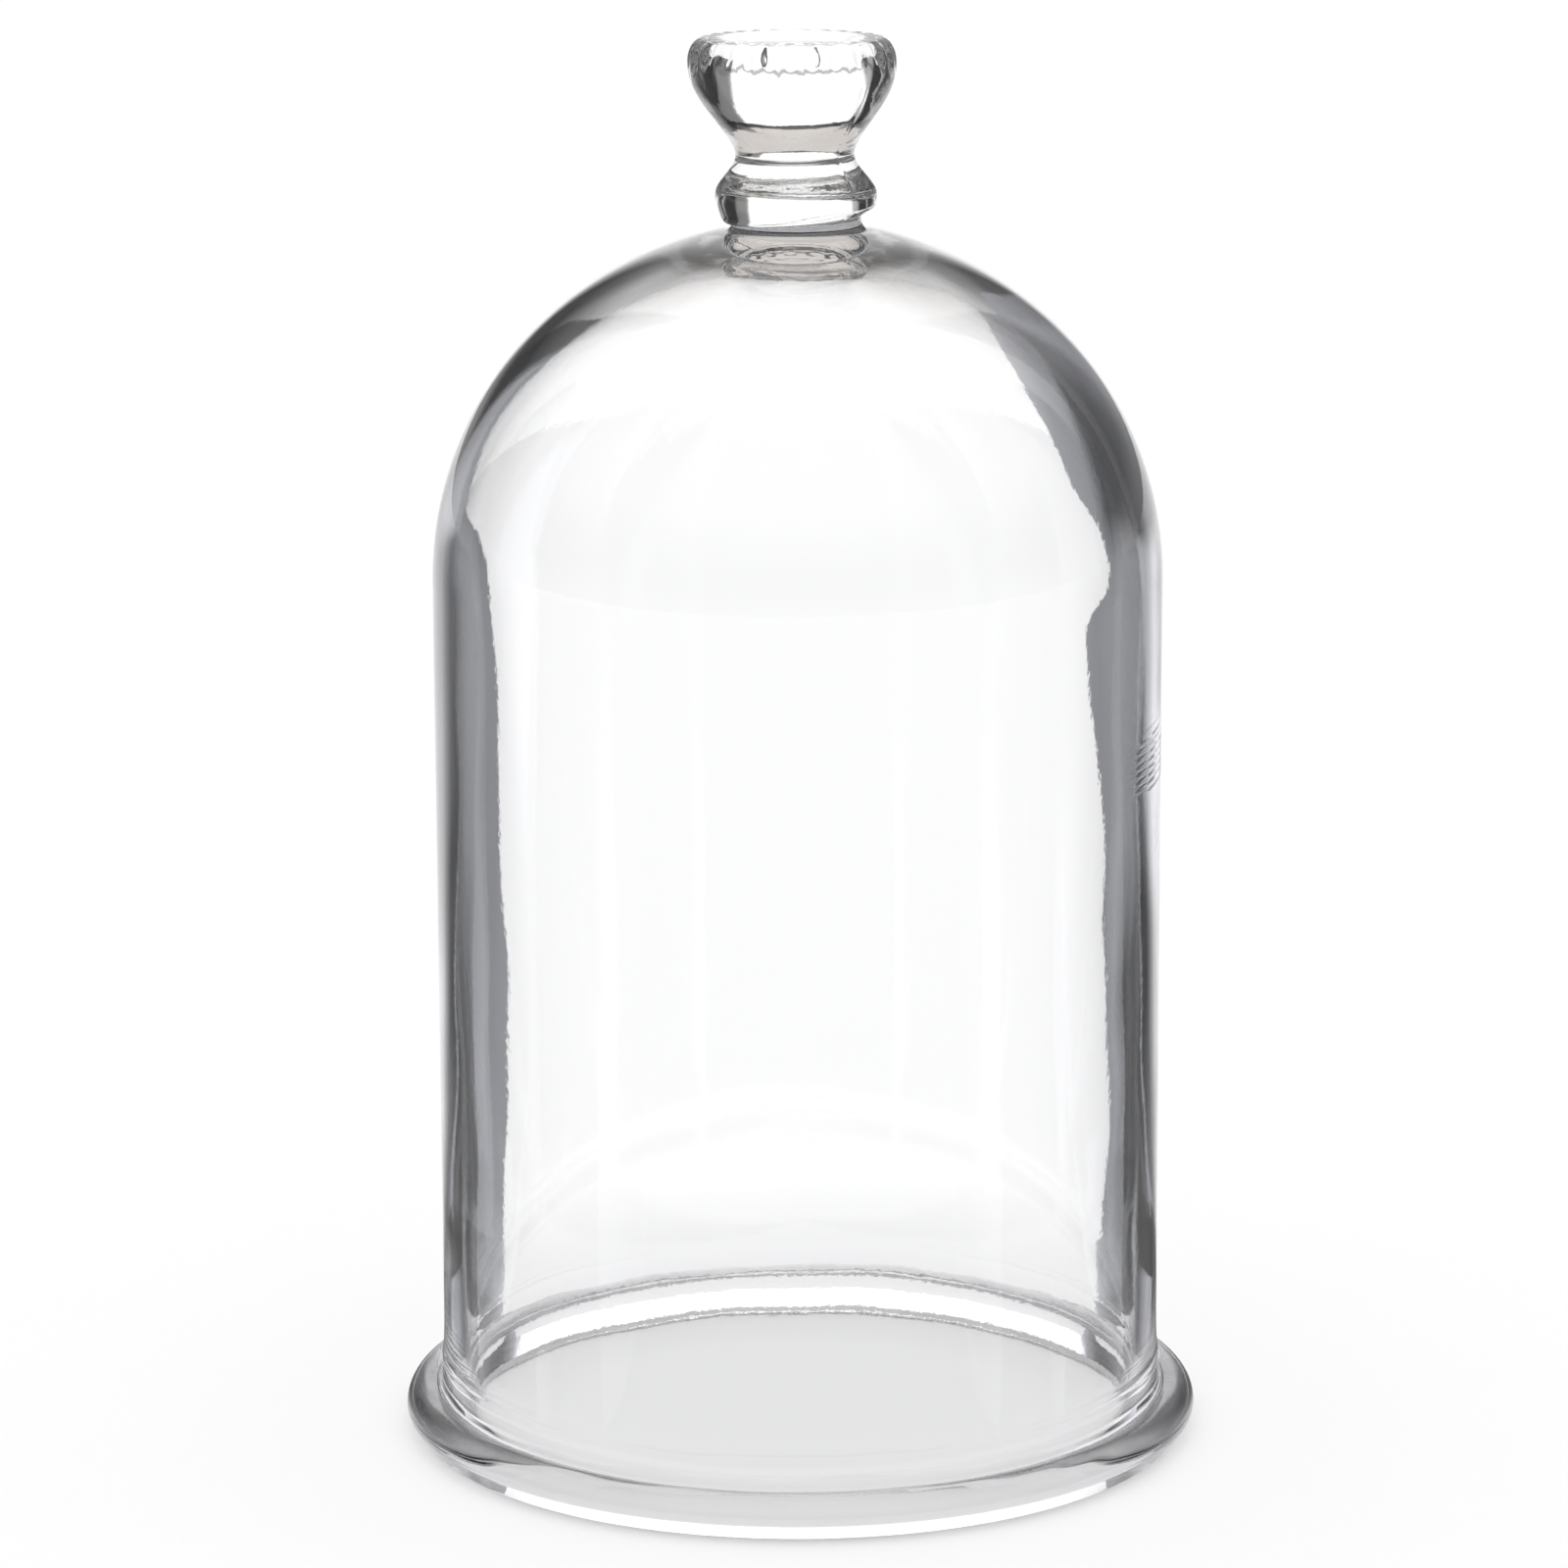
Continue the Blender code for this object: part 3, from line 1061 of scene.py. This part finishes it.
class KnobBuilder(bpy.types.Operator):
    """Builds the solid knob with its bead, waist, head and tool-marked top"""

    bl_idname = "bell_jar.knob"
    bl_label = "Knob"

    def execute(self, context):
        finish = glass("knob_glass", (0.985, 0.988, 0.985), 0.0, 500.0, 0.03 * MM)
        skin_piece("knob_skin", ["knob"], [(finish, None)], "knob")
        return {"FINISHED"}


class CollarBuilder(bpy.types.Operator):
    """Builds the short step of glass between the dome and the knob"""

    bl_idname = "bell_jar.collar"
    bl_label = "Neck collar"

    def execute(self, context):
        finish = glass("collar_glass", (0.975, 0.98, 0.978), 0.0, 420.0, 0.012 * MM)
        skin_piece("collar_skin", ["collar"], [(finish, None)], "neck_collar")
        return {"FINISHED"}


class ShellBuilder(bpy.types.Operator):
    """Builds the wall and dome, outside and inside"""

    bl_idname = "bell_jar.shell"
    bl_label = "Wall and dome"

    def execute(self, context):
        finish = glass("shell_glass", (0.996, 0.997, 0.998), 0.0, 650.0, 0.005 * MM)
        skin_piece("shell_skin", ["outside", "inside"], [(finish, None)], "bell_shell")
        return {"FINISHED"}


class FlangeBuilder(bpy.types.Operator):
    """Builds the rounded flange with its ground underside"""

    bl_idname = "bell_jar.flange"
    bl_label = "Foot flange"

    def execute(self, context):
        clear = glass("flange_glass", (0.985, 0.985, 0.99), 0.0, 300.0, 0.005 * MM)
        ground = glass("ground_glass", (0.80, 0.80, 0.82), 0.35, 1800.0, 0.03 * MM, mottle=0.35)

        def underside(upper, lower):
            """True for faces whose two rings both lie on the ground face."""
            highest = np.maximum(upper[:, :, 2].max(axis=1), lower[:, :, 2].max(axis=1))
            return highest < GROUND_FLAT

        finishes = [(clear, None), (ground, underside)]
        skin_piece("flange_skin", ["flange"], finishes, "foot_flange")
        return {"FINISHED"}


class StageBuilder(bpy.types.Operator):
    """Sets the floor, the grey cards, the world and the camera"""

    bl_idname = "bell_jar.stage"
    bl_label = "Stage"

    def execute(self, context):
        stage = settings().stage
        self.floor(stage)
        self.cards(stage)
        studio_world(stage.sky)
        self.camera(stage)
        scene = context.scene
        scene.view_settings.view_transform = "Standard"
        scene.cycles.max_bounces = LIGHT_BOUNCES
        scene.cycles.glossy_bounces = LIGHT_BOUNCES
        scene.cycles.transmission_bounces = LIGHT_BOUNCES
        scene.cycles.transparent_max_bounces = LIGHT_BOUNCES
        scene.cycles.blur_glossy = 0.0
        return {"FINISHED"}

    def floor(self, stage):
        """A round pale floor just under the jar."""
        mesh = bpy.data.meshes.new("floor")
        disc = bmesh.new()
        bmesh.ops.create_circle(disc, cap_ends=True, segments=FLOOR_SIDES, radius=stage.floor_radius)
        disc.to_mesh(mesh)
        disc.free()
        mesh.materials.append(floor_finish(stage.floor_colour))
        floor = bpy.data.objects.new("floor", mesh)
        floor.location.z = -FLOOR_GAP
        bpy.context.scene.collection.objects.link(floor)

    def cards(self, stage):
        """Tall cards round the jar, and short ones between them at its foot."""
        finishes = {side: card_finish(side, stage.card_end, CARD_EDGE_ON) for side in CARD_EDGES}
        for number, side in enumerate(CARD_SIDES):
            turn = number * math.tau / len(CARD_SIDES)
            edge = [*CARD_EDGES[side], (stage.card_end, stage.card_height), (stage.card_end, 0.0)]
            self.hidden_card(f"card_{number}", turn, edge, finishes[side])
        low_finish = card_finish("foot", stage.card_end, FOOT_EDGE_ON)
        for number in range(FOOT_CARDS):
            turn = (number + 0.5) * math.tau / FOOT_CARDS
            self.hidden_card(f"foot_card_{number}", turn, FOOT_CARD, low_finish)

    def hidden_card(self, name, turn, edge, finish):
        """An upright card, edge on to the axis, that is seen only through the glass."""
        out = Vector((math.sin(turn), math.cos(turn), 0.0))
        corners = [out * reach + Vector((0, 0, height)) for reach, height in edge]
        mesh = bpy.data.meshes.new(name)
        mesh.from_pydata(corners, [], [range(len(corners))])
        mesh.materials.append(finish)
        card = bpy.data.objects.new(name, mesh)
        card.visible_camera = False
        card.visible_diffuse = False
        card.visible_glossy = False
        card.visible_shadow = False
        bpy.context.scene.collection.objects.link(card)

    def camera(self, stage):
        """The camera, looking down at the jar with a slight roll."""
        data = bpy.data.cameras.new("camera")
        data.sensor_width = SENSOR_WIDTH
        data.lens = stage.lens
        camera = bpy.data.objects.new("camera", data)
        camera.location = (stage.camera_side, -stage.camera_distance, stage.camera_height)
        look = Euler((math.pi / 2 - stage.camera_pitch, 0.0, 0.0)).to_quaternion()
        camera.rotation_mode = "QUATERNION"
        camera.rotation_quaternion = look @ Quaternion((0, 0, 1), stage.camera_roll)
        bpy.context.scene.collection.objects.link(camera)
        bpy.context.scene.camera = camera


class BellJarPanel(bpy.types.Panel):
    """Lists the jar's pieces and its stage"""

    bl_idname = "VIEW3D_PT_bell_jar"
    bl_label = "Bell Jar"
    bl_space_type = "VIEW_3D"
    bl_region_type = "UI"
    bl_category = "Bell Jar"

    def draw(self, context):
        column = self.layout.column()
        for builder in BUILDERS:
            column.operator(builder.bl_idname)


BUILDERS = (ShellBuilder, FlangeBuilder, CollarBuilder, KnobBuilder, StageBuilder)
SIZES = (KnobSizes, CollarSizes, ShellSizes, FlangeSizes, StageSizes, BellJarSettings)
CLASSES = (*SIZES, *BUILDERS, BellJarPanel)


def register():
    """Registers the classes and hangs the settings on the scene."""
    for item in CLASSES:
        bpy.utils.register_class(item)
    bpy.types.Scene.bell_jar = PointerProperty(type=BellJarSettings)


def unregister():
    """Takes them away again."""
    del bpy.types.Scene.bell_jar
    for item in reversed(CLASSES):
        bpy.utils.unregister_class(item)


def main():
    register()
    bpy.ops.bell_jar.shell()
    bpy.ops.bell_jar.flange()
    bpy.ops.bell_jar.collar()
    bpy.ops.bell_jar.knob()
    bpy.ops.bell_jar.stage()


if __name__ == "__main__":
    main()
